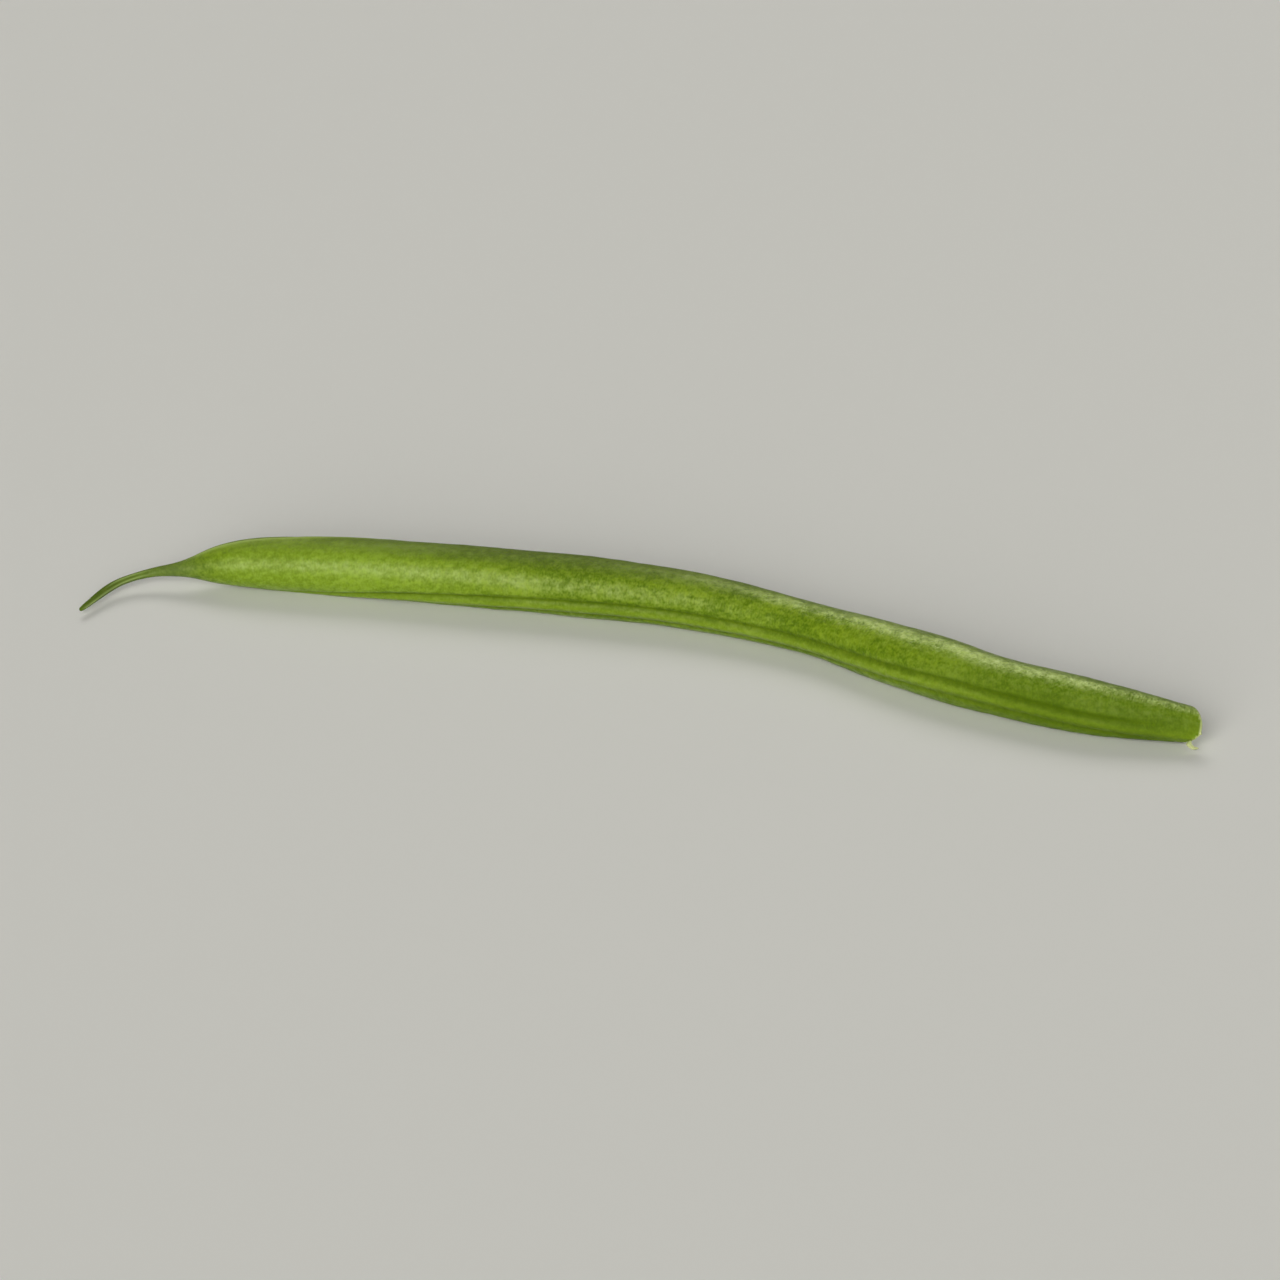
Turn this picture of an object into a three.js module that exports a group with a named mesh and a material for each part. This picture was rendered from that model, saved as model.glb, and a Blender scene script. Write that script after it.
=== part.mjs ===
// A green bean, topped at its stalk end, lying on its side on a flat surface.
//
// The pod grew as one piece, so it is one solid: the body, the beak with its tail and the cut end run
// into each other. Millimetres, +Z up, resting on z = 0. X runs along the pod from the tail to the cut
// end, the pod bows sideways towards +Y, and the origin is the middle of its footprint.
//
// The pod is first turned as a straight lathe shape. Each of its points is then moved: it twists round
// with the seams, takes the seams' ridges and the swelling over the seeds, and follows the bent centre
// line of the pod.

import * as THREE from 'three';
import { mergeVertices } from 'three/addons/utils/BufferGeometryUtils.js';

// ---- Driving dimensions, in millimetres and degrees --------------------------------------------

// The middle of the pod from the tip of the tail to the cut end: x, y and height.
const CENTRE_LINE = [
  [-9.1, -10.5, 1.0],
  [-6.9, -3.5, 1.6],
  [-4.0, -0.7, 2.1],
  [-0.5, 0.2, 2.5],
  [6.2, 2.7, 3.1],
  [16.0, 5.0, 3.3],
  [33.5, 7.45, 3.45],
  [57.0, 9.6, 3.4],
  [72.5, 7.9, 3.2],
  [88.0, 3.0, 3.5],
  [99.5, 0.0, 3.4],
  [110.5, -1.1, 3.1],
  [122.5, -0.5, 2.2],
];

// The tables below give a value against the distance along the pod from the tip of the tail.

const HALF_WIDTHS = [
  [0.4, 0.2],
  [6, 0.42],
  [12.4, 0.55],
  [15.6, 0.95],
  [19, 1.95],
  [23, 2.75],
  [30, 3.28],
  [42, 3.5],
  [60, 3.58],
  [78, 3.3],
  [91, 3.02],
  [106.5, 3.62],
  [120.5, 3.3],
  [127.5, 3.28],
  [135, 2.75],
  [141, 2.1],
];

// How far down the front of the pod its front seam lies: 0 is level with the pod's middle, 90 is
// underneath. The pod is twisted, so this changes along it. The back seam lies opposite.
const SEAM_TURN = [
  [0, 78],
  [26, 78],
  [42, 42],
  [60, 23],
  [92, 16],
  [116, 1],
  [141, 16],
];

const OVAL = 0.02; // how much longer the section is from seam to seam, as a share of its half width

// Each seam is a raised string. The front one has a furrow on both sides.
const FRONT_STRING = { height: 0.14, halfWidth: 0.42 };
const FURROW = { depth: 0.16, halfWidth: 0.38, fromSeam: 0.95 };
const BACK_STRING = { height: 0.1, halfWidth: 0.4 };
const STRINGS_FADE_IN = [15, 30]; // the seams rise out of the neck between these distances

// The skin swells a little over the seeds, on both sides of the pod.
const SEEDS = { first: 29, pitch: 11.6, count: 9, halfLength: 4.4, swell: 0.13 };

// The cut end is slanted, with a rim of skin and flesh round a slightly sunken middle.
const CUT = {
  runSideways: 0.72, // how far the cut runs back for each millimetre towards the back of the pod
  runDownwards: 0.27, // and for each millimetre downwards
  reach: 8, // the slant fades out over this length
  bevel: 0.15,
  rim: 0.7,
  sunk: 0.3,
};

const SIDES = 36; // faces round the pod
const STATIONS = 96; // rings of points along it
const CROWDING = 0.62; // 0 spaces the points evenly round the pod, 1 draws them all to the seams

const SKIN = { color: 0x6f9a2e, roughness: 0.45, metalness: 0 };

// ---- Curves through the dimensions -------------------------------------------------------------

const toRadians = THREE.MathUtils.degToRad;
const { smoothstep } = THREE.MathUtils;

const centreLine = new THREE.CatmullRomCurve3(
  CENTRE_LINE.map((point) => new THREE.Vector3(...point)), false, 'centripetal');
centreLine.arcLengthDivisions = 2000;
const POD_LENGTH = centreLine.getLength();

// A smooth function through a table of [distance, value] pairs.
function through(table) {
  const distances = table.map(([distance]) => distance);
  const values = table.map(([, value]) => value);
  const curve = new THREE.CubicInterpolant(distances, values, 1);
  const [first, last] = [distances[0], distances.at(-1)];
  return (distance) => curve.evaluate(THREE.MathUtils.clamp(distance, first, last))[0];
}

const halfWidth = through(HALF_WIDTHS);
const seamTurn = through(SEAM_TURN);

// ---- The skin: how far it stands out from the plain round pod -----------------------------------

// A rounded ridge across the skin, 1 at its crest. Distances are measured along the skin.
const ridge = (distance, halfLength) => Math.exp(-((distance / halfLength) ** 2));

// The seams' relief, by the angle from the front seam, where the pod has this half width.
function seamRelief(angle, radius) {
  const fromFront = radius * Math.abs(Math.atan2(Math.sin(angle), Math.cos(angle)));
  const fromBack = Math.PI * radius - fromFront;
  return FRONT_STRING.height * ridge(fromFront, FRONT_STRING.halfWidth)
    - FURROW.depth * ridge(fromFront - FURROW.fromSeam, FURROW.halfWidth)
    + BACK_STRING.height * ridge(fromBack, BACK_STRING.halfWidth);
}

// The swelling over the seeds: highest half way between the seams.
function seedRelief(distance, angle) {
  let swell = 0;
  for (let seed = 0; seed < SEEDS.count; seed++) {
    const middle = SEEDS.first + seed * SEEDS.pitch;
    swell += SEEDS.swell * ridge(distance - middle, SEEDS.halfLength);
  }
  return swell * Math.sin(angle) ** 2;
}

// The finished half width at a distance along the pod and an angle from the front seam.
function skin(distance, angle) {
  const radius = halfWidth(distance);
  const strings = smoothstep(distance, ...STRINGS_FADE_IN);
  return radius * (1 + OVAL * Math.cos(2 * angle))
    + strings * seamRelief(angle, radius)
    + seedRelief(distance, angle);
}

// ---- The straight pod --------------------------------------------------------------------------

// The profile runs up the lathe's axis: the tip, the skin, then the cut face back to the axis.
function podProfile() {
  const profile = [new THREE.Vector2(0, 0)];
  const [tip] = HALF_WIDTHS[0];
  const end = POD_LENGTH - CUT.bevel;
  for (let station = 0; station <= STATIONS; station++) {
    const distance = THREE.MathUtils.lerp(tip, end, station / STATIONS);
    profile.push(new THREE.Vector2(halfWidth(distance), distance));
  }
  const endRadius = halfWidth(end);
  profile.push(
    new THREE.Vector2(endRadius - CUT.bevel, POD_LENGTH),
    new THREE.Vector2(endRadius - CUT.rim, POD_LENGTH - CUT.sunk / 2),
    new THREE.Vector2(endRadius / 3, POD_LENGTH - CUT.sunk),
    new THREE.Vector2(0, POD_LENGTH - CUT.sunk / 2),
  );
  return profile;
}

// ---- Bending it --------------------------------------------------------------------------------

// Moves a point of the straight pod, whose y is its distance along it, to its place on the real one.
function bend(point) {
  const distance = point.y;
  const turned = Math.atan2(point.x, point.z);
  const angle = turned - (CROWDING / 2) * Math.sin(2 * turned);
  const share = skin(distance, angle) / halfWidth(distance);
  const radius = Math.hypot(point.x, point.z) * share;

  const along = THREE.MathUtils.clamp(distance / POD_LENGTH, 0, 1);
  const forwards = centreLine.getTangentAt(along);
  const backwards = new THREE.Vector3(0, 0, 1).cross(forwards).normalize();
  const upwards = forwards.clone().cross(backwards);

  const round = Math.PI + toRadians(seamTurn(distance)) + angle;
  const behind = radius * Math.cos(round);
  const above = radius * Math.sin(round);
  const slant = smoothstep(distance, POD_LENGTH - CUT.reach, POD_LENGTH);
  const cutBack = slant * (CUT.runSideways * behind - CUT.runDownwards * above);

  return centreLine.getPointAt(along)
    .addScaledVector(backwards, behind)
    .addScaledVector(upwards, above)
    .addScaledVector(forwards, -cutBack);
}

// The belly is pressed flat where the pod rests, so nothing reaches below z = 0.
function makePod() {
  const straight = new THREE.LatheGeometry(podProfile(), SIDES);
  straight.deleteAttribute('normal');
  straight.deleteAttribute('uv');
  const geometry = mergeVertices(straight);
  const { position } = geometry.attributes;
  const point = new THREE.Vector3();
  for (let index = 0; index < position.count; index++) {
    const { x, y, z } = bend(point.fromBufferAttribute(position, index));
    position.setXYZ(index, x, y, Math.max(z, 0));
  }
  geometry.computeBoundingBox();
  const middle = geometry.boundingBox.getCenter(new THREE.Vector3());
  geometry.translate(-middle.x, -middle.y, 0);
  geometry.computeVertexNormals();

  const pod = new THREE.Mesh(geometry, new THREE.MeshStandardMaterial(SKIN));
  pod.name = 'pod';
  return pod;
}

const bean = new THREE.Group();
bean.name = 'green_bean';
bean.add(makePod());

export default bean;
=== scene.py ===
# %% [markdown]
# # A fresh green bean
#
# This lesson makes one green bean: a slim round pod with a curved tail at one end and a slanted cut
# at the other, where it was topped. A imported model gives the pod's true size and place. The lesson
# replaces that plain model with a finer pod and gives it a skin.

# %% Load the fixed model
import math

import bpy
import numpy as np
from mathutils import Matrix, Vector


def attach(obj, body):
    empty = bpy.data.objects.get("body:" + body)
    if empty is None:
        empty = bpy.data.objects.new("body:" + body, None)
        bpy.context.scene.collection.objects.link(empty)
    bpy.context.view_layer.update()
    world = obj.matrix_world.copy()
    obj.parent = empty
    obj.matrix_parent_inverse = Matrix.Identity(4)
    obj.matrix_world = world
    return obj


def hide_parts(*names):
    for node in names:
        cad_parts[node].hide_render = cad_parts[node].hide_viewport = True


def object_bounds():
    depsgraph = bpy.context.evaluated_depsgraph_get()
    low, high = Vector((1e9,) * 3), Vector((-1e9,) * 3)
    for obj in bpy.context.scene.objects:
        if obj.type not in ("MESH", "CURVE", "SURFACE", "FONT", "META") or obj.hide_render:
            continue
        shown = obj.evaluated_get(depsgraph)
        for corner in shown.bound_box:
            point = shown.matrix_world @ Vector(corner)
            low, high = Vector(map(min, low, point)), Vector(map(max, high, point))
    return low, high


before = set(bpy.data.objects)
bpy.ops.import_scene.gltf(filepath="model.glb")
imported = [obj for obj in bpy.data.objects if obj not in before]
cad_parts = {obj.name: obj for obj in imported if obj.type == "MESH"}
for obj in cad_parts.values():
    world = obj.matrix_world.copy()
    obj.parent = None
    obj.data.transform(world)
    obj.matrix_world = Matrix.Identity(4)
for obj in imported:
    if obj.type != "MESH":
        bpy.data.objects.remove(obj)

MM = 0.001
cad_box = [list(corner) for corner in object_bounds()]
cad_size = [(high - low) / MM for low, high in zip(*cad_box)]
print("the model's box, mm:", [round(side, 1) for side in cad_size])

# %% [markdown]
# ## How a pod is shaped
#
# A pod grows along a bent middle line, and is thin in the tail and neck and plump over the seeds.
# Both can be drawn by eye with points pulled about on the screen, but a few written stations are
# easier to correct. Three short tables hold them, and a smooth curve runs through each. All lengths
# in this lesson are in millimetres, and "along" is measured from the tip of the tail.

# %% The pod's stations
# (to the right, to the back, up) of points on the middle line, from the tip of the tail to the cut
MIDDLE_LINE = [
    (-9.1, -10.5, 0.95),
    (-6.9, -3.7, 1.5),
    (-4.0, -1.0, 2.0),
    (-0.5, 0.1, 2.58),
    (6.2, 2.7, 3.16),
    (16.0, 5.0, 3.3),
    (33.5, 7.45, 3.45),
    (57.0, 9.6, 3.4),
    (72.5, 7.9, 3.2),
    (88.0, 3.0, 3.5),
    (99.5, 0.0, 3.4),
    (110.5, -1.1, 3.15),
    (122.5, -0.5, 2.45),
]

# (distance along, half the pod's width there)
HALF_WIDTHS = [
    (0.4, 0.3), (5.6, 0.49), (9.6, 0.45), (12.6, 0.6), (15.6, 1.0), (19, 2.17), (23, 2.88),
    (30, 3.28), (42, 3.5), (60, 3.58), (78, 3.3), (91, 3.02), (106.5, 3.62), (120.5, 3.3),
    (127.5, 3.28), (135, 2.7), (141, 2.02), (146, 1.6),
]

# (distance along, degrees that the front seam lies below the pod's middle): the pod is twisted
SEAM_TURN = [(0, 78), (26, 78), (42, 42), (60, 23), (92, 16), (116, 1), (141, 16)]


def through(table):
    """A smooth function through a table of (distance, value) pairs."""
    at, value = np.array(table, float).T
    secant = np.diff(value) / np.diff(at)
    slope = np.concatenate(([secant[0]], (secant[1:] + secant[:-1]) / 2, [secant[-1]]))

    def smooth(distance):
        d = np.clip(distance, at[0], at[-1])
        i = np.clip(np.searchsorted(at, d, side="right") - 1, 0, len(at) - 2)
        step = at[i + 1] - at[i]
        t = (d - at[i]) / step
        start = (1 + 2 * t) * (1 - t) ** 2 * value[i] + t * (1 - t) ** 2 * step * slope[i]
        return start + t * t * (3 - 2 * t) * value[i + 1] + t * t * (t - 1) * step * slope[i + 1]

    return smooth


half_width = through(HALF_WIDTHS)
seam_turn = through(SEAM_TURN)
print("half the pod's width in its middle, mm:", round(float(half_width(70)), 2))

# %% [markdown]
# ## The middle line
#
# A Curve modifier will bend the pod, so the middle line is wanted as a curve object. A centripetal
# Catmull-Rom curve passes through every station without loops or overshoot. It is worked out here
# and given to Blender as a fine polyline, so the length along it is exact.

# %% The middle line as a curve
STEPS_A_SPAN = 60


def centripetal(points, steps):
    """Points close together on a centripetal Catmull-Rom curve through the given ones."""
    p = np.array(points, float)
    p = np.vstack([2 * p[0] - p[1], p, 2 * p[-1] - p[-2]])
    t = np.linspace(0, 1, steps, endpoint=False)[:, None]
    spans = []
    for a, b, c, d in zip(p, p[1:], p[2:], p[3:]):
        ab, bc, cd = (math.sqrt(np.linalg.norm(q)) for q in (b - a, c - b, d - c))
        leave = ((b - a) / ab - (c - a) / (ab + bc) + (c - b) / bc) * bc
        arrive = ((c - b) / bc - (d - b) / (bc + cd) + (d - c) / cd) * bc
        cubic = 2 * b - 2 * c + leave + arrive
        square = 3 * c - 3 * b - 2 * leave - arrive
        spans.append(((cubic * t + square) * t + leave) * t + b)
    return np.vstack(spans + [p[-2]])


line = centripetal(MIDDLE_LINE, STEPS_A_SPAN)
POD_LENGTH = float(np.linalg.norm(np.diff(line, axis=0), axis=1).sum())

guide_data = bpy.data.curves.new("middle_line", "CURVE")
guide_data.dimensions = "3D"
guide_data.twist_mode = "Z_UP"
spline = guide_data.splines.new("POLY")
spline.points.add(len(line) - 1)
spline.points.foreach_set("co", np.c_[line * MM, np.ones(len(line))].ravel())
guide = bpy.data.objects.new("middle_line", guide_data)
bpy.context.collection.objects.link(guide)
print("length along the pod, mm:", round(POD_LENGTH, 1))

# %% [markdown]
# ## Growing the pod ring by ring
#
# The pod is first modelled straight, along X, because a straight pod is easy to measure. It starts
# as a small disc at the tip of the tail. The disc is extruded again and again, and each new ring is
# scaled to the pod's width there and turned with the twist of the seams, so the lines of the mesh
# run along the seams. It grows past the cut, which comes later.

# %% Extrude the straight pod
SIDES = 40
RINGS = 100
TIP = (0.05, 0.16)  # the blunt tip of the tail: distance along, half width
SPARE = 4  # grown past the cut


def select_only(piece):
    """Makes one piece the only selected one and the active one."""
    bpy.ops.object.select_all(action="DESELECT")
    piece.select_set(True)
    bpy.context.view_layer.objects.active = piece


def start_editing(piece):
    """Opens one piece in edit mode, with no other piece selected."""
    select_only(piece)
    bpy.ops.object.mode_set(mode="EDIT")


bpy.ops.object.select_all(action="DESELECT")
bpy.ops.mesh.primitive_circle_add(
    vertices=SIDES, radius=TIP[1] * MM, fill_type="NGON",
    location=(TIP[0] * MM, 0, 0), rotation=(0, math.pi / 2, 0))
pod = bpy.context.active_object
pod.name = "green_bean_pod"
bpy.ops.object.transform_apply(location=True, rotation=True, scale=True)

start_editing(pod)
bpy.ops.mesh.select_all(action="SELECT")
stations = np.linspace(HALF_WIDTHS[0][0], POD_LENGTH + SPARE, RINGS)
sizes = [TIP] + [(station, half_width(station)) for station in stations]
for (here, half), (there, next_half) in zip(sizes, sizes[1:]):
    bpy.ops.mesh.extrude_region_move(
        TRANSFORM_OT_translate={"value": ((there - here) * MM, 0, 0)})
    growth = next_half / half
    turn = math.radians(seam_turn(there) - seam_turn(here))
    middle = (there * MM, 0, 0)
    bpy.ops.transform.resize(value=(1, growth, growth), center_override=middle)
    bpy.ops.transform.rotate(value=-turn, orient_axis="X", center_override=middle)
bpy.ops.mesh.select_all(action="SELECT")
bpy.ops.mesh.normals_make_consistent(inside=False)
bpy.ops.object.mode_set(mode="OBJECT")
print("rings:", RINGS, "faces:", len(pod.data.polygons))

# %% [markdown]
# ## Smoothing the rings
#
# The rings are still flat facets. A Subdivision Surface modifier rounds them, and it is applied so
# that later steps have a fine mesh to work on. From here a vertex is described by where it sits on
# the pod: how far along, and how far round from the front seam.

# %% Subdivide, and find each vertex's place on the skin
SMOOTH_LEVELS = 2


def apply_modifier(piece, kind, **settings):
    """Adds a modifier with these settings and applies it at once."""
    select_only(piece)
    modifier = piece.modifiers.new(kind.lower(), kind)
    for name, value in settings.items():
        setattr(modifier, name, value)
    bpy.ops.object.modifier_apply(modifier=modifier.name)


def places(piece):
    """Each vertex's x, y and z, in millimetres."""
    flat = np.empty(len(piece.data.vertices) * 3)
    piece.data.vertices.foreach_get("co", flat)
    return flat.reshape(-1, 3).T / MM


def wrapped(angle):
    """The same angle, between minus half a turn and half a turn."""
    return (angle + math.pi) % (2 * math.pi) - math.pi


def skin_places(piece):
    """On the straight pod: distance along, angle from the front seam, distance from the axis."""
    x, y, z = places(piece)
    around = np.arctan2(z, y) - math.pi - np.radians(seam_turn(x))
    return x, wrapped(around), np.hypot(y, z)


apply_modifier(pod, "SUBSURF", levels=SMOOTH_LEVELS, render_levels=SMOOTH_LEVELS)
print("vertices on the smooth pod:", len(pod.data.vertices))

# %% [markdown]
# ## Seams, furrows and seeds
#
# Two strings run the length of a pod, where its halves are joined. The front one stands up between
# two furrows, and the back one is finer. The skin swells a little over each seed, and the tail has
# two ribs. Sculpting brushes could raise all these, but a weight for every vertex is exact and can
# be corrected, so each form is first written as a weight that fades out along and across the pod.

# %% Write down the raised forms
STRING = {"height": 0.15, "half": 0.55}
# the furrows run this far from the seam, and the one below the string is shallower than the other
FURROW = {"depth": 0.22, "half": 0.34, "from_seam": 0.98, "lower_share": 0.55}
BACK_STRING = {"height": 0.12, "half": 0.3, "from_front": math.radians(187)}
SEEDS = {"first": 29, "pitch": 11.6, "half": 4.4, "swell": 0.14}
SEED_SIZES = (0.9, 1.1, 0.75, 1.15, 0.85, 1.0, 1.2, 0.9, 1.0)
BIGGEST_SEED = max(SEED_SIZES)
TAIL_RIBS = [(-92, 0, 1), (-148, 4, 8)]  # (degrees from the front seam, starts at, full from)
TAIL_RIB = {"height": 0.08, "half": 0.13}

# where the forms fade in or out along the pod
STRING_STARTS = (15, 30)
BACK_STRING_STARTS = (14, 18)
FURROWS_END = (130, 140)
TAIL_RIBS_END = (9, 13)


def ridge(distance, half):
    """A rounded ridge: 1 at its crest, fading out over this half width."""
    return np.exp(-(distance / half) ** 2)


def fade(value, low, high):
    """0 below low, 1 above high and smooth between them."""
    t = np.clip((value - low) / (high - low), 0, 1)
    return t * t * (3 - 2 * t)


def front_string(along, around, radius):
    """The string that stands up along the front seam."""
    return fade(along, *STRING_STARTS) * ridge(np.abs(around) * radius, STRING["half"])


def furrows(along, around, radius, half, lower_share):
    """A furrow of this half width on each side of the string, weaker on its lower side."""
    reach = fade(along, *STRING_STARTS) * (1 - fade(along, *FURROWS_END))
    beside = ridge(np.abs(around) * radius - FURROW["from_seam"], half)
    return reach * beside * np.where(around > 0, lower_share, 1)


def raised_forms(piece):
    """How strongly each form lifts or sinks the skin at each vertex, from 0 to 1."""
    along, around, radius = skin = skin_places(piece)
    from_back = wrapped(around - BACK_STRING["from_front"]) * radius
    seeds = np.zeros_like(along)
    for number, size in enumerate(SEED_SIZES):
        middle = SEEDS["first"] + number * SEEDS["pitch"]
        seeds += size * ridge(along - middle, SEEDS["half"])
    ribs = np.zeros_like(along)
    for degrees, start, full in TAIL_RIBS:
        from_rib = wrapped(around - math.radians(degrees)) * radius
        ribs += fade(along, start, full) * ridge(from_rib, TAIL_RIB["half"])
    return {
        "string": front_string(*skin),
        "furrow": furrows(*skin, FURROW["half"], FURROW["lower_share"]),
        "back_string": fade(along, *BACK_STRING_STARTS) * ridge(from_back, BACK_STRING["half"]),
        "seed": np.clip(seeds, 0, BIGGEST_SEED) / BIGGEST_SEED * np.sin(around) ** 2,
        "tail_rib": ribs * (1 - fade(along, *TAIL_RIBS_END)),
    }


raised = raised_forms(pod)
print("vertices near the crest of each form:",
      {name: int((weight > 0.5).sum()) for name, weight in raised.items()})

# %% [markdown]
# ## Lifting the skin
#
# A Displace modifier moves each vertex along its normal, and a vertex group tells it how far. So
# the weights of each form become a group, and one modifier for each form lifts or sinks the skin.
# They are applied one after the other, so each form follows the skin that the last one left.

# %% Raise the skin
HEIGHTS = {
    "string": STRING["height"],
    "furrow": -FURROW["depth"],
    "back_string": BACK_STRING["height"],
    "seed": SEEDS["swell"] * BIGGEST_SEED,
    "tail_rib": TAIL_RIB["height"],
}


def displace(piece, name, weights, height, least=0.005, **settings):
    """Moves the skin out by height times each vertex's weight. Weights up to least do nothing."""
    group = piece.vertex_groups.new(name=name)
    for vertex in np.nonzero(weights > least)[0]:
        group.add([int(vertex)], float(min(weights[vertex], 1)), "REPLACE")
    apply_modifier(piece, "DISPLACE", strength=height * MM, vertex_group=name, **settings)
    piece.vertex_groups.clear()


for name, height in HEIGHTS.items():
    displace(pod, name, raised[name], height, mid_level=0)
print("widest reach from the axis, mm:", round(float(skin_places(pod)[2].max()), 2))

# %% [markdown]
# ## A grown thing is never quite regular
#
# No part of the skin is a clean curve. It could be dented by hand, but a texture does it evenly all
# over. Two Displace modifiers with cloud textures push the skin in and out by a few hundredths of a
# millimetre: long soft lumps, and short shallow dimples. The thin tail stays as it is, because
# there they would break it up.

# %% Lumps and dimples
UNEVENNESS = (("lumps", 7, 0.16), ("dimples", 1.7, 0.06))  # (name, size across, height)
UNEVEN_FROM = (16, 30)

for name, size, height in UNEVENNESS:
    clouds = bpy.data.textures.new(name, "CLOUDS")
    clouds.noise_scale = size * MM
    weights = fade(skin_places(pod)[0], *UNEVEN_FROM)
    displace(pod, name, weights, height, least=0, texture=clouds, texture_coords="LOCAL",
             mid_level=0.5)
    print(name, "reach in and out by up to, mm:", height / 2)

# %% [markdown]
# ## The cut end
#
# The stalk end was cut off with a knife, on a slant, and the cut broke away a little at its lower
# corner. A boolean with a box could take the end off, but a bisect does the same with one plane and
# leaves a clean edge. Two bisects are made, the slant and the corner, and their filled faces are
# dissolved into one.

# %% Cut the stalk end off
CUT_AT = 0.25  # short of the pod's full length, for the lip to fill
# (direction that the cut faces, how far it is from the middle of the end): the slant and a corner
CUTS = [(Vector((1, 0.8, -0.28)).normalized(), 0),
        (Vector((0.79, 0.17, -0.66)).normalized(), 0.85)]
CUT_NORMAL = CUTS[0][0]
SAME_PLANE = 0.999  # how nearly a face of the cut has to face the way the cut does

cut_middle = Vector((POD_LENGTH - CUT_AT, 0, 0)) * MM


def select_faces(piece, wanted):
    """Selects only the faces for which wanted(face) is true, and counts them. For object mode."""
    for part in (*piece.data.vertices, *piece.data.edges, *piece.data.polygons):
        part.select = False
    for face in piece.data.polygons:
        face.select = wanted(face)
    return sum(face.select for face in piece.data.polygons)


start_editing(pod)
bpy.ops.mesh.select_mode(type="FACE")
for normal, out in CUTS:
    bpy.ops.mesh.select_all(action="SELECT")
    bpy.ops.mesh.bisect(plane_co=cut_middle + normal * out * MM, plane_no=normal, use_fill=True,
                        clear_outer=True, threshold=0.001 * MM)
bpy.ops.object.mode_set(mode="OBJECT")
cut_faces = select_faces(pod, lambda face: any(
    face.normal.dot(normal) > SAME_PLANE for normal, out in CUTS))
bpy.ops.object.mode_set(mode="EDIT")
bpy.ops.mesh.dissolve_faces()
print("cut faces made one:", cut_faces)

# %% [markdown]
# ## The lip and the flesh
#
# At the cut the edge of the skin stands up as a thin lip, and the softer flesh inside it has sunk
# back a little. The cut face is slanted, so an inset would be uneven. It is extruded instead, ring
# by ring, and each ring is scaled about the middle of the cut and moved out or in. What grows from
# the last ring of the lip joins a vertex group, which then gives the flesh a material of its own.

# %% Grow the lip and the flesh
# (size of each ring of the cut, how far it stands out), from the skin inwards
LIP_RINGS = [(0.985, 0.1), (0.95, 0.18), (0.9, 0.22)]
FLESH_RINGS = [(0.86, 0.19), (0.82, 0.08), (0.7, 0.0), (0.5, 0.03), (0.3, 0.06), (0.12, 0.0)]


def add_rings(rings, last):
    """Extrudes the selected face ring by ring. last is the ring that it starts from."""
    for ring in rings:
        (size, out), (last_size, last_out) = ring, last
        move = CUT_NORMAL * (out - last_out) * MM
        bpy.ops.mesh.extrude_region_move(TRANSFORM_OT_translate={"value": move})
        centre = cut_middle + CUT_NORMAL * out * MM
        bpy.ops.transform.resize(value=(size / last_size,) * 3, center_override=centre)
        last = ring


def mark_selected(piece, name):
    """Puts the selected points in a vertex group. What is extruded from them joins it too."""
    piece.vertex_groups.active = piece.vertex_groups.get(name) or piece.vertex_groups.new(name=name)
    bpy.ops.object.vertex_group_assign()


def marked(piece, name):
    """The numbers of the points in a vertex group. For object mode."""
    group = piece.vertex_groups[name].index
    return {point.index for point in piece.data.vertices
            if any(member.group == group for member in point.groups)}


# the pod is still in edit mode, with only the face of the cut selected
add_rings(LIP_RINGS, (1, 0))
mark_selected(pod, "flesh")
add_rings(FLESH_RINGS, LIP_RINGS[-1])
bpy.ops.mesh.poke()
bpy.ops.object.mode_set(mode="OBJECT")

skin = bpy.data.materials.new("bean_skin")
flesh = bpy.data.materials.new("bean_cut_flesh")
pod.data.materials.append(skin)
pod.data.materials.append(flesh)
flesh_points = marked(pod, "flesh")
flesh_faces = select_faces(pod, lambda face: flesh_points.issuperset(face.vertices))
bpy.ops.object.mode_set(mode="EDIT")
pod.active_material_index = 1
bpy.ops.object.material_slot_assign()
bpy.ops.object.mode_set(mode="OBJECT")
print("faces of flesh:", flesh_faces)

# %% [markdown]
# ## Torn shreds at the cut
#
# The knife left a few pale shreds of skin at the lower corner of the cut. They could be small loose
# pieces, but a shred that grows from the pod can't float or leave a gap. Each one starts as a small
# patch of the lip, which is extruded several times. Every step moves it out and scales it.

# %% Pull shreds out of the lip
# (direction round the lip: back, up), radius of its base, steps: (forward, back, up), scale
SHREDS = [
    ((-0.72, -0.69), 0.42, [
        ((-0.09, -0.24, -0.16), 1.05), ((0.2, -0.22, -0.14), 0.85), ((0.3, -0.2, -0.12), 0.8),
        ((0.34, -0.03, -0.05), 1.3), ((0.26, 0.01, -0.02), 0.7)]),
    ((-0.995, 0.1), 0.15, [((0.03, -0.05, -0.03), 0.8), ((0.02, -0.04, -0.05), 0.6)]),
    ((-0.3, -0.95), 0.15, [((0.1, -0.05, -0.05), 0.7), ((0.1, -0.12, -0.03), 0.7)]),
]
FACES_THE_CUT = 0.1  # how nearly a face of the lip has to face the way the cut does


def lip_place(direction):
    """Where the lip of the cut lies in this direction from its middle, in metres."""
    back, up = direction
    reach = half_width(POD_LENGTH) * LIP_RINGS[1][0] / math.hypot(back, up)
    y, z = back * reach, up * reach
    forward = min((out - normal.y * y - normal.z * z) / normal.x for normal, out in CUTS)
    return cut_middle + (Vector((forward, y, z)) + CUT_NORMAL * LIP_RINGS[1][1]) * MM


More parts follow.
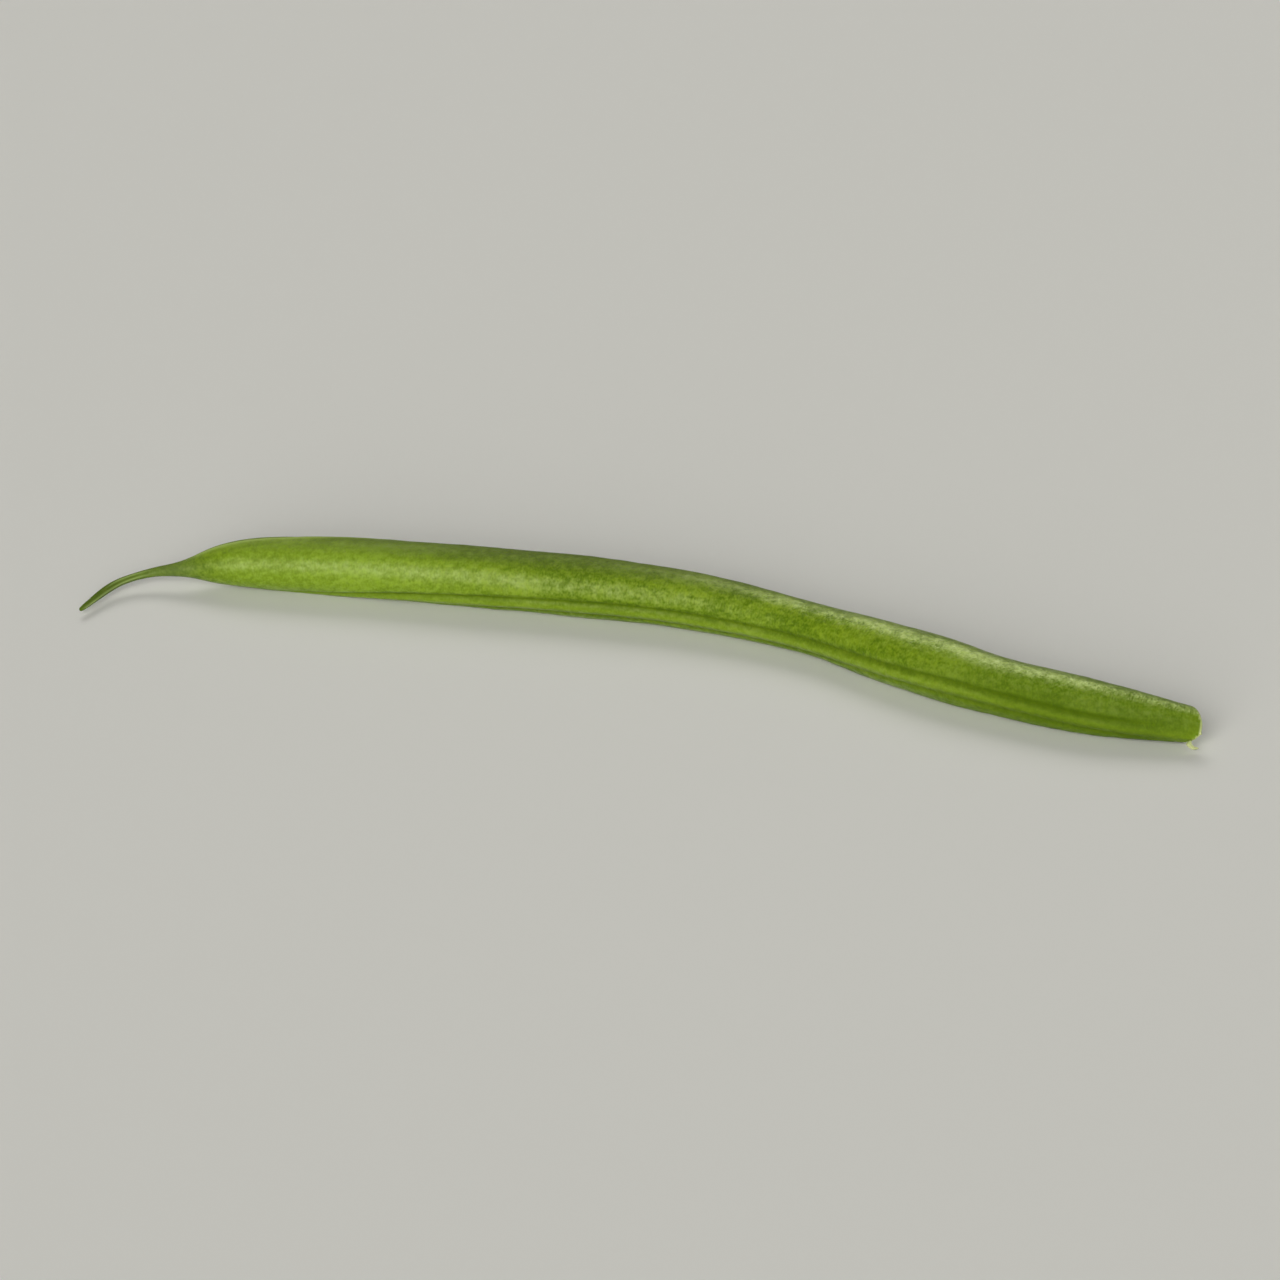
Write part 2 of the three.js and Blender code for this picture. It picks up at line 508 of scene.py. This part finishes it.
for direction, base, steps in SHREDS:
    end = lip_place(direction)
    picked = select_faces(pod, lambda face: face.normal.dot(CUT_NORMAL) > FACES_THE_CUT
                          and (face.center - end).length < base * MM
                          and not flesh_points.issuperset(face.vertices))
    bpy.ops.object.mode_set(mode="EDIT")
    mark_selected(pod, "shreds")
    for move, scale in steps:
        step = Vector(move) * MM
        end = end + step
        bpy.ops.mesh.extrude_region_move(TRANSFORM_OT_translate={"value": step})
        bpy.ops.transform.resize(value=(scale,) * 3, center_override=end)
    bpy.ops.object.mode_set(mode="OBJECT")
    print("a shred grows from", picked, "faces")
shred_points = sorted(marked(pod, "shreds"))
pod.vertex_groups.clear()

# %% [markdown]
# ## Where the skin changes colour
#
# A pod isn't one green all over. Its beak is yellower, its neck is greyer and its stalk end is
# deeper green. Its furrows get painted shade, and its strings are painted paler, partly their own
# colour and partly painted highlight. The upper side of the tail half gets painted shade, and its
# wax is rubbed thin. The front of the last third has lost its wax too, and gets a little painted
# shade. Image maps could hold all this, but weights at the vertices need no unwrapping, so the
# tints are weights too.

# %% Write down the tints
# where the tints fade in or out along the pod
ALONG = {
    "tail_ends": (8, 15), "beak_starts": (15, 24), "beak_ends": (32, 66),
    "shade_starts": (17, 24), "shade_grows": (28, 46), "tail_half_ends": (66, 96),
    "stalk_end": (98, 126), "last_third": (104, 124),
}
# where the upper and the front side fade in or out, in degrees round the pod: 0 is its back, 90
# its top and 180 its front, so the upper side runs on past 360 and ends before it starts
ROUND = {
    "upper_ends": (108, 138), "upper_starts": (300, 340),
    "front_starts": (128, 150), "front_ends": (270, 300),
}
NECK = {"at": 13.9, "half": 3.2}
FURROW_SHADE = {"half": 0.46, "lower_share": 0.7}
# painted shade takes this share of the string's paint off in the last third
STRING_SHADE_AT_CUT = 0.6  # how much less pale the string is in the last third
# these two set painted shade on the upper side of the tail half and the front of the last third
SUN = {"shade_starts": 0.45, "shade_grows": 0.55}  # how much each stretch adds to the upper side
FRONT_SHADE = 0.5


def tints(piece):
    """How strongly each tint of the skin shows at each vertex, from 0 to 1."""
    along, around, radius = skin = skin_places(piece)
    degrees = np.degrees(around + math.pi + np.radians(seam_turn(along))) % 360
    here = {name: fade(along, *span) for name, span in ALONG.items()}
    here.update({name: fade(degrees, *span) for name, span in ROUND.items()})
    upper = (1 - here["upper_ends"]) + here["upper_starts"]
    front = here["front_starts"] * (1 - here["front_ends"])
    tail_half = 1 - here["tail_half_ends"]
    shade_share = SUN["shade_starts"] * here["shade_starts"] + SUN["shade_grows"] * here["shade_grows"]
    return {
        # the string's own paleness with painted highlight, and painted shade in the last third
        "pale_string": front_string(*skin) * (1 - STRING_SHADE_AT_CUT * here["last_third"]),
        # painted shade in the furrows beside the front string
        "furrow_shade": furrows(*skin, FURROW_SHADE["half"], FURROW_SHADE["lower_share"]),
        "neck": ridge(along - NECK["at"], NECK["half"]),
        "tail": 1 - here["tail_ends"],
        "stalk_end": here["stalk_end"],
        "beak": here["beak_starts"] * (1 - here["beak_ends"]),
        "rubbed": upper * tail_half + front * here["last_third"],
        # painted shade on the upper side of the tail half and the front of the last third
        "sunned": upper * tail_half * shade_share + FRONT_SHADE * front * here["last_third"],
    }


shown = tints(pod)
print("share of the vertices that each tint covers:",
      {name: round(float((weight > 0.5).mean()), 2) for name, weight in shown.items()})

# %% [markdown]
# ## Remembering where the skin grew
#
# Once the pod is bent, a pattern in plain coordinates would cut across it. So each vertex now
# stores its place on the straight pod, and how strongly each tint and form shows there. The
# material reads these attributes, and its streaks and seams follow the bend and the twist.

# %% Store the skin's coordinates, tints and forms
PAINTED_FORMS = ("furrow", "back_string", "tail_rib")  # raised forms that the material reads too
NEAR_CUT = 1.6  # half the width of the paler band at the cut
TORN_FROM = (-0.1, 0.06)  # how far out of the cut the skin goes from whole to torn


def store(piece, name, values):
    """Keeps one number, or three, for each vertex under this name."""
    kind, field = (("FLOAT", "value"), ("FLOAT_VECTOR", "vector"))[np.ndim(values) == 2]
    layer = piece.data.attributes.new(name, kind, "POINT")
    layer.data.foreach_set(field, np.ascontiguousarray(values, np.float32).ravel())


along, around, radius = skin_places(pod)
store(pod, "grown", np.c_[along, radius * np.cos(around), radius * np.sin(around)])
raised = raised_forms(pod)
shown.update({name: raised[name] for name in PAINTED_FORMS})
from_middle = places(pod).T - np.array(cut_middle) / MM
from_cut = np.max([from_middle @ np.array(normal) - out for normal, out in CUTS], axis=0)
shown["near_cut"] = ridge(from_cut, NEAR_CUT)
shown["torn"] = fade(from_cut, *TORN_FROM)
shown["torn"][shred_points] = 1
for name, weight in shown.items():
    store(pod, name, weight)
print("stored on the skin:", ", ".join(shown))

# %% [markdown]
# ## Bending the pod and laying it down
#
# The real pod grew bent, but a straight one was easier to model, so it is bent only now. A Curve
# modifier wraps it round the middle line. Where the belly would then sink into the surface it lies
# on, its points are scaled flat onto it, as its weight presses it.

# %% Bend the pod
apply_modifier(pod, "CURVE", object=guide, deform_axis="POS_X")
bpy.data.objects.remove(guide)

start_editing(pod)
bpy.ops.mesh.select_mode(type="VERT")
bpy.ops.mesh.select_all(action="DESELECT")
bpy.ops.object.mode_set(mode="OBJECT")
for vertex in pod.data.vertices:
    vertex.select = vertex.co.z < 0
print("points pressed flat:", sum(vertex.select for vertex in pod.data.vertices))
bpy.ops.object.mode_set(mode="EDIT")
bpy.ops.transform.resize(value=(1, 1, 0), center_override=(0, 0, 0))
bpy.ops.object.mode_set(mode="OBJECT")

# %% [markdown]
# ## Fitting it to the imported model
#
# The lumps and dimples may have carried the skin a few hundredths of a millimetre past the packed
# model's box. The pod is moved over the middle of that box and scaled by a hair to fill it. It then
# takes the plain model's place and rides on the same body.

# %% Fit the pod to the model
FIT_MARGIN = 0.01  # how much smaller than the model's box the pod is made
SMOOTH_BELOW = math.radians(40)  # sharper edges, such as the lip's, stay crisp

lowest, highest = places(pod).min(axis=1), places(pod).max(axis=1)
fit = (np.array(cad_size) - FIT_MARGIN) / (highest - lowest)
print("scaled to fit by", fit.round(4))
bpy.ops.object.mode_set(mode="EDIT")
bpy.ops.mesh.select_all(action="SELECT")
middle = (lowest + highest) / 2 * MM
bpy.ops.transform.translate(value=(-middle[0], -middle[1], 0))
bpy.ops.transform.resize(value=fit, center_override=(0, 0, 0))
bpy.ops.object.mode_set(mode="OBJECT")
select_only(pod)
bpy.ops.object.shade_smooth_by_angle(angle=SMOOTH_BELOW)
print("pod, mm:", [round(float(side.max() - side.min()), 2) for side in places(pod)])

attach(pod, "root")
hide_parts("pod")

# %% [markdown]
# ## Wiring a material
#
# A material is a small circuit of nodes. They could be placed and wired with the mouse, but a
# written circuit can be run again. Each node would take several lines, so two helpers place a node
# with its settings and wires in one line, and each material below reads as a recipe.

# %% Two helpers for nodes


def add_node(tree, kind, wires=None, **settings):
    """Adds a node. wires gives its inputs: another node's output, or a plain value."""
    made = tree.nodes.new(kind)
    for name, value in settings.items():
        setattr(made, name, value)
    for name, value in (wires or {}).items():
        if isinstance(value, bpy.types.NodeSocket):
            tree.links.new(value, made.inputs[name])
        else:
            made.inputs[name].default_value = value
    return made


def math_step(tree, operation, first, second, third=0.0):
    """One step of arithmetic on numbers, each a wire or a plain value."""
    return add_node(tree, "ShaderNodeMath", {0: first, 1: second, 2: third},
                    operation=operation).outputs[0]


print("helpers ready:", add_node.__name__, "and", math_step.__name__)

# %% [markdown]
# ## Plant grain, shared by skin and flesh
#
# Plant cells make every surface of the pod slightly grainy. Skin and flesh both use this, at
# different sizes, so it is a node group: it takes coordinates, a grain size and a stretch along the
# pod, and gives a coarse and a fine pattern.

# %% The grain group
DETAIL = {"Coarse": 1.5, "Fine": 0.5}  # how many finer layers of noise each pattern has
GRAIN_ROUGHNESS = 0.45  # how strong each finer layer is

grain = bpy.data.node_groups.new("plant_grain", "ShaderNodeTree")
for name, kind in (("Place", "NodeSocketVector"), ("Coarse size", "NodeSocketFloat"),
                   ("Fine size", "NodeSocketFloat"), ("Stretch", "NodeSocketVector")):
    grain.interface.new_socket(name=name, in_out="INPUT", socket_type=kind)
for name in DETAIL:
    grain.interface.new_socket(name=name, in_out="OUTPUT", socket_type="NodeSocketFloat")
entry = grain.nodes.new("NodeGroupInput")
leave = grain.nodes.new("NodeGroupOutput")
stretched = add_node(grain, "ShaderNodeVectorMath", {
    0: entry.outputs["Place"], 1: entry.outputs["Stretch"]}, operation="MULTIPLY")
for name, detail in DETAIL.items():
    per_millimetre = math_step(grain, "DIVIDE", 1.0, entry.outputs[name + " size"])
    pattern = add_node(grain, "ShaderNodeTexNoise", {
        "Vector": stretched.outputs[0], "Scale": per_millimetre, "Detail": detail,
        "Roughness": GRAIN_ROUGHNESS})
    grain.links.new(pattern.outputs["Fac"], leave.inputs[name])


def plant_grain(tree, place, coarse, fine, stretch):
    """Places the grain group and gives its coarse and fine patterns."""
    node = tree.nodes.new("ShaderNodeGroup")
    node.node_tree = grain
    tree.links.new(place, node.inputs["Place"])
    node.inputs["Coarse size"].default_value = coarse
    node.inputs["Fine size"].default_value = fine
    node.inputs["Stretch"].default_value = stretch
    return node.outputs["Coarse"], node.outputs["Fine"]


print("nodes in the grain group:", len(grain.nodes))

# %% [markdown]
# ## The skin's tone
#
# A fresh pod is mid green, with soft patches about as long as the pod is thick, finer mottling, a
# faint lengthwise fibre and specks. One noise texture can't show all these, so four patterns are
# added up by weight to a single tone. A colour ramp turns the tone into deep, mid and pale green.

# %% The skin's patterns and its leaf green
LEAF_DEEP = (0.085, 0.155, 0.0025, 1)
LEAF_MID = (0.137, 0.222, 0.003, 1)
LEAF_PALE = (0.192, 0.288, 0.007, 1)
TONE_LOW, TONE_MIDDLE, TONE_HIGH = 0.46, 0.6, 0.74


def weighted_sum(tree, parts):
    """Adds up patterns. parts are (pattern, weight) pairs."""
    (first, weight), *others = parts
    total = math_step(tree, "MULTIPLY", first, weight)
    for pattern, weight in others:
        total = math_step(tree, "MULTIPLY_ADD", pattern, weight, total)
    return total


def colour_ramp(tree, value, stops):
    """The colour for a value between 0 and 1. stops are (value, colour) pairs, in rising order."""
    made = add_node(tree, "ShaderNodeValToRGB", {"Fac": value})
    elements = made.color_ramp.elements
    elements.remove(elements[1])
    elements[0].position, elements[0].color = stops[0]
    for position, colour in stops[1:]:
        elements.new(position).color = colour
    return made.outputs["Color"]


skin.use_nodes = True
tree = skin.node_tree
tree.nodes.clear()
grown = add_node(tree, "ShaderNodeAttribute", attribute_name="grown").outputs["Vector"]
# each line gives two patterns: their sizes, and how they are squeezed along the pod
blotch, mottle = plant_grain(tree, grown, 4.8, 0.55, (0.7, 1, 1))
fibre, _ = plant_grain(tree, grown, 0.9, 0.35, (0.12, 1, 1))
bloom, speck = plant_grain(tree, grown, 0.9, 0.3, (1.25, 1, 1))
ripple, fine_ripple = plant_grain(tree, grown, 0.7, 0.3, (1.4, 1, 1))
tone = weighted_sum(tree, [(blotch, 0.34), (mottle, 0.4), (fibre, 0.1), (speck, 0.36)])
colour = colour_ramp(tree, tone, [
    (TONE_LOW, LEAF_DEEP), (TONE_MIDDLE, LEAF_MID), (TONE_HIGH, LEAF_PALE)])
print("nodes in the skin so far:", len(tree.nodes))

# %% [markdown]
# ## Tinting the skin
#
# Each stored tint is laid over the leaf green as a thin glaze, one after the other, like washes of
# watercolour. The share says how much of the green it hides. A flat paint would wipe out the
# mottling under it, so the beak and the painted shade of the upper side, wide and strong, are
# mottled with the same tone.

# %% Lay the tints over the green
BEAK_GREEN = (0.2, 0.315, 0.012, 1)
# painted shade for the upper side of the tail half and the front of the last third
PAINTED_SHADE_GREEN = (0.055, 0.1, 0.001, 1)
# painted shade in the furrows beside the front string
PAINTED_FURROW_SHADE = (0.045, 0.085, 0.001, 1)
# the string's own paleness together with painted highlight on its lit crest
STRING_PALE_AND_HIGHLIGHT = (0.21, 0.31, 0.018, 1)
# the back string's own paleness together with a painted rim highlight along the top outline
BACK_STRING_AND_RIM_HIGHLIGHT = (0.34, 0.44, 0.13, 1)
TAIL_GREEN = (0.055, 0.095, 0.008, 1)
TAIL_LINE = (0.32, 0.42, 0.15, 1)
NECK_GREEN = (0.1, 0.145, 0.045, 1)
TORN_PALE = (0.66, 0.7, 0.4, 1)


def form(tree, name):
    """How strongly one of the stored tints or forms of the skin shows."""
    return add_node(tree, "ShaderNodeAttribute", attribute_name=name).outputs["Fac"]


def mottled(paint, contrast):
    """The same paint, darker where the tone is low and paler where it is high."""
    darker, paler = ([level * share for level in paint[:3]] + [1]
                     for share in (1 - contrast, 1 + contrast))
    return colour_ramp(tree, tone, [(TONE_LOW, darker), (TONE_HIGH, paler)])


def colour_mix(tree, share, first, second):
    """The colour that goes from first to second as share goes from 0 to 1."""
    return add_node(tree, "ShaderNodeMix", {0: share, 6: first, 7: second},
                    data_type="RGBA").outputs[2]


# (tint, share of the green that it hides where it is strongest, paint)
GLAZES = [
    ("beak", 0.7, mottled(BEAK_GREEN, 0.16)),
    ("stalk_end", 0.5, LEAF_DEEP),
    # painted shade on the upper side of the tail half and the front of the last third
    ("sunned", 0.65, mottled(PAINTED_SHADE_GREEN, 0.2)),
    # painted shade in the furrows beside the front string
    ("furrow_shade", 0.62, PAINTED_FURROW_SHADE),
    # the string's own paleness together with painted highlight
    ("pale_string", 0.6, STRING_PALE_AND_HIGHLIGHT),
    # the back string's own paleness together with a painted rim highlight
    ("back_string", 0.85, BACK_STRING_AND_RIM_HIGHLIGHT),
    ("tail", 0.8, TAIL_GREEN),
    ("tail_rib", 0.8, TAIL_LINE),
    ("neck", 0.65, NECK_GREEN),
    ("near_cut", 0.25, LEAF_PALE),
    ("torn", 0.9, TORN_PALE),
]
for name, share, paint in GLAZES:
    colour = colour_mix(tree, math_step(tree, "MULTIPLY", form(tree, name), share), colour, paint)
print("tints laid over the green:", len(GLAZES))

# %% [markdown]
# ## Wax, fuzz and fine ripples
#
# The skin is waxy over a fine fuzz. Its shine is broad and satin, and breaks up into short ripples
# across the pod. Real wax is a thin clear layer, so it is made with the shader's coat. The coat is
# thicker on the pale spots of the tone and thin on the dark ones, which frosts the skin where light
# falls on it. Furrows, neck, tail, tears and the rubbed sides have lost much of it and are dull.

# %% The skin's relief and wax
# (where most values of a pattern lie, what they are carried to)
SPECK_TO_ROUGHNESS = (0.3, 0.7), (0.38, 0.56)
BLOOM_TO_WAX = (0.38, 0.64), (0.24, 0.46)
TONE_TO_FROST = (0.49, 0.71), (0.15, 1.85)  # a share of that wax
RELIEF_HEIGHT = 0.15
BEAK_SHINE = 0.15
WAX_LOST = {"furrow": 1.0, "neck": 0.5, "tail": 0.8, "torn": 0.8, "rubbed": 0.8}
DULLER_BY = 0.3  # added to the roughness where all the wax is lost


def rescaled(tree, value, old, new):
    """The value carried from one (low, high) range to another, and kept inside it."""
    return add_node(tree, "ShaderNodeMapRange", {
        "Value": value, "From Min": old[0], "From Max": old[1],
        "To Min": new[0], "To Max": new[1]}).outputs["Result"]


relief = weighted_sum(tree, [(ripple, 0.9), (fine_ripple, 0.4), (speck, 0.15)])
bumps = add_node(tree, "ShaderNodeBump", {
    "Height": relief, "Strength": 1.0, "Distance": RELIEF_HEIGHT * MM})
dullness = rescaled(tree, speck, *SPECK_TO_ROUGHNESS)
wax = rescaled(tree, bloom, *BLOOM_TO_WAX)
frost = rescaled(tree, tone, *TONE_TO_FROST)
shine = math_step(tree, "MULTIPLY", wax, frost)
shine = math_step(tree, "MULTIPLY_ADD", form(tree, "beak"), BEAK_SHINE, shine)
for name, lost in WAX_LOST.items():
    kept = math_step(tree, "MULTIPLY_ADD", form(tree, name), -lost, 1.0)
    shine = math_step(tree, "MULTIPLY", shine, kept)
    dullness = math_step(tree, "MULTIPLY_ADD", form(tree, name), DULLER_BY * lost, dullness)
print("parts of the skin that lose wax:", ", ".join(WAX_LOST))

# %% [markdown]
# ## The skin's shader
#
# One Principled shader holds everything. The patterns feed its colour, roughness, normal and coat.
# What is the same all over is set on its own sockets: a little light passes under the skin and
# comes back green, and a trace of sheen stands for the fuzz.

# %% Put the skin together
surface = add_node(tree, "ShaderNodeBsdfPrincipled", {
    "Base Color": colour, "Roughness": dullness, "Normal": bumps.outputs["Normal"],
    "Coat Weight": shine, "Coat Roughness": 0.45, "Coat IOR": 1.5,
    "IOR": 1.45, "Specular IOR Level": 0.25, "Specular Tint": (1.0, 1.0, 0.5, 1),
    "Subsurface Weight": 0.15, "Subsurface Radius": (0.5, 1.0, 0.1),
    "Subsurface Scale": 1 * MM,
    "Sheen Weight": 0.03, "Sheen Roughness": 0.5, "Sheen Tint": (0.85, 1.0, 0.6, 1)})
add_node(tree, "ShaderNodeOutputMaterial", {"Surface": surface.outputs["BSDF"]})
print("nodes in the skin:", len(tree.nodes))

# %% [markdown]
# ## The cut flesh
#
# A knife cut shows a pale rim of skin, a darker ring of fresh green flesh, paler spongy flesh
# inside it, and a green core. All of these follow the distance from the axis, so one colour ramp
# over that distance draws them, and the plant grain breaks the rings up. The flesh is moist, so it
# is glossier than the skin.

# %% Flesh material
# (share of the way from the axis to the skin, colour)
FLESH_COLOURS = [
    (0.0, (0.16, 0.27, 0.03, 1)), (0.22, (0.2, 0.33, 0.05, 1)), (0.45, (0.40, 0.5, 0.16, 1)),
    (0.74, (0.36, 0.48, 0.12, 1)), (0.84, (0.18, 0.31, 0.03, 1)), (0.93, (0.5, 0.6, 0.3, 1)),
]
UNEVEN_BY = 0.16  # how far the grain shifts the rings, as a share of the same way
CELLS_TO_ROUGHNESS = (0.35, 0.65), (0.28, 0.5)

flesh.use_nodes = True
tree = flesh.node_tree
tree.nodes.clear()
grown = add_node(tree, "ShaderNodeAttribute", attribute_name="grown").outputs["Vector"]
cells, fine_cells = plant_grain(tree, grown, 0.5, 0.16, (1, 1, 1))
across = add_node(tree, "ShaderNodeVectorMath", {0: grown, 1: (0, 1, 1)}, operation="MULTIPLY")
from_axis = add_node(tree, "ShaderNodeVectorMath", {0: across.outputs[0]}, operation="LENGTH")
share = math_step(tree, "DIVIDE", from_axis.outputs["Value"], float(half_width(POD_LENGTH)))
share = math_step(tree, "MULTIPLY_ADD", cells, UNEVEN_BY, share)
share = math_step(tree, "SUBTRACT", share, UNEVEN_BY / 2)
rings = colour_ramp(tree, share, FLESH_COLOURS)
wetness = rescaled(tree, fine_cells, *CELLS_TO_ROUGHNESS)
bumps = add_node(tree, "ShaderNodeBump", {"Height": cells, "Strength": 0.7, "Distance": 0.1 * MM})
surface = add_node(tree, "ShaderNodeBsdfPrincipled", {
    "Base Color": rings, "Roughness": wetness, "Normal": bumps.outputs["Normal"], "IOR": 1.4,
    "Subsurface Weight": 0.35, "Subsurface Radius": (0.6, 1.0, 0.3),
    "Subsurface Scale": 1.5 * MM})
add_node(tree, "ShaderNodeOutputMaterial", {"Surface": surface.outputs["BSDF"]})
print("nodes in the flesh:", len(tree.nodes))

# %% [markdown]
# ## A pale table
#
# The pod lies on a wide pale floor of dull paper. A single plane does for it, so large that its
# edge never shows.

# %% Floor
FLOOR_SIZE = 30  # metres
FLOOR_DROP = 0.02 * MM  # keeps the floor's face apart from the flat of the belly
PAPER = (0.82, 0.81, 0.93, 1)

bpy.ops.mesh.primitive_plane_add(size=FLOOR_SIZE, location=(0, 0, -FLOOR_DROP))
floor = bpy.context.active_object
floor.name = "floor"
bpy.ops.object.transform_apply(location=True)
paper = bpy.data.materials.new("paper")
paper.use_nodes = True
sheet = paper.node_tree.nodes["Principled BSDF"]
sheet.inputs["Base Color"].default_value = PAPER
sheet.inputs["Roughness"].default_value = 0.9
sheet.inputs["Specular IOR Level"].default_value = 0.1
floor.data.materials.append(paper)
print("floor, metres across:", FLOOR_SIZE)

# %% [markdown]
# ## Soft light
#
# Two wide suns light the pod, a strong one from the front and a weak one from behind. A sun lights
# the floor evenly wherever the camera stands, and its width keeps the shadows soft. The wax along
# the upper edge of the cut half shows only against a bright patch, so a soft panel stands behind
# it. It gives shine alone, so it leaves no patch on the floor. The background fills the shadows.

# %% Lights and background
VIEW_AZIMUTH = math.radians(18.31)
RIGHT = Vector((math.cos(VIEW_AZIMUTH), math.sin(VIEW_AZIMUTH), 0))
AWAY = Vector((-math.sin(VIEW_AZIMUTH), math.cos(VIEW_AZIMUTH), 0))
UP = Vector((0, 0, 1))
WARM = (1, 1, 0.8)
CUT_HALF = (64, -4, 4)  # a place in the middle of it


def add_light(name, kind, right, away, up, strength, colour, aim=(0, 0, 0)):
    """A light that shines on aim from this far to its right, beyond it and above it."""
    light = bpy.data.lights.new(name, kind)
    light.energy, light.color = strength, colour
    lamp = bpy.data.objects.new(name, light)
    bpy.context.collection.objects.link(lamp)
    offset = RIGHT * right + AWAY * away + UP * up
    lamp.location = (Vector(aim) + offset) * MM
    lamp.rotation_euler = offset.to_track_quat("Z", "Y").to_euler()
    return lamp


front = add_light("front_light", "SUN", -240, -1000, 450, 2.8, WARM)
front.data.angle = math.radians(42)
back = add_light("back_light", "SUN", -170, 900, 900, 0.82, WARM)
back.data.angle = math.radians(34)
edge = add_light("edge_panel", "AREA", -25, 170, 205, 0.58, (0.88, 1, 0.45), aim=CUT_HALF)
edge.data.size = 140 * MM
edge.visible_diffuse = False

world = bpy.data.worlds.new("studio")
world.use_nodes = True
sky = world.node_tree.nodes["Background"]
sky.inputs["Color"].default_value = (1, 1, 0.85, 1)
sky.inputs["Strength"].default_value = 0.1
bpy.context.scene.world = world
bpy.context.scene.view_settings.view_transform = "Standard"
print("lights:", ", ".join(lamp.name for lamp in (front, back, edge)))

# %% [markdown]
# ## The camera
#
# A long lens from far off keeps the pod's ends in proportion. The camera looks down on the pod at a
# low slant, and its frame is a little wider than the pod.

# %% Camera
VIEW_ELEVATION = math.radians(27.09)
VIEW_DISTANCE = 2000
LOOK_AT = Vector((-0.93, -3.36, 3.5))  # the middle of the frame
SENSOR = 36
FRAME_WIDTH = 147.4  # what the frame takes in at the pod
FARTHEST = 100  # metres to which the camera sees, past the floor's edge

camera_data = bpy.data.cameras.new("camera")
camera_data.sensor_width = SENSOR
camera_data.lens = SENSOR * VIEW_DISTANCE / FRAME_WIDTH
camera_data.clip_end = FARTHEST
camera = bpy.data.objects.new("camera", camera_data)
bpy.context.collection.objects.link(camera)
offset = (-AWAY * math.cos(VIEW_ELEVATION) + UP * math.sin(VIEW_ELEVATION)) * VIEW_DISTANCE
camera.location = (LOOK_AT + offset) * MM
camera.rotation_euler = offset.to_track_quat("Z", "Y").to_euler()
bpy.context.scene.camera = camera
print("camera at, mm:", [round(side / MM) for side in camera.location])
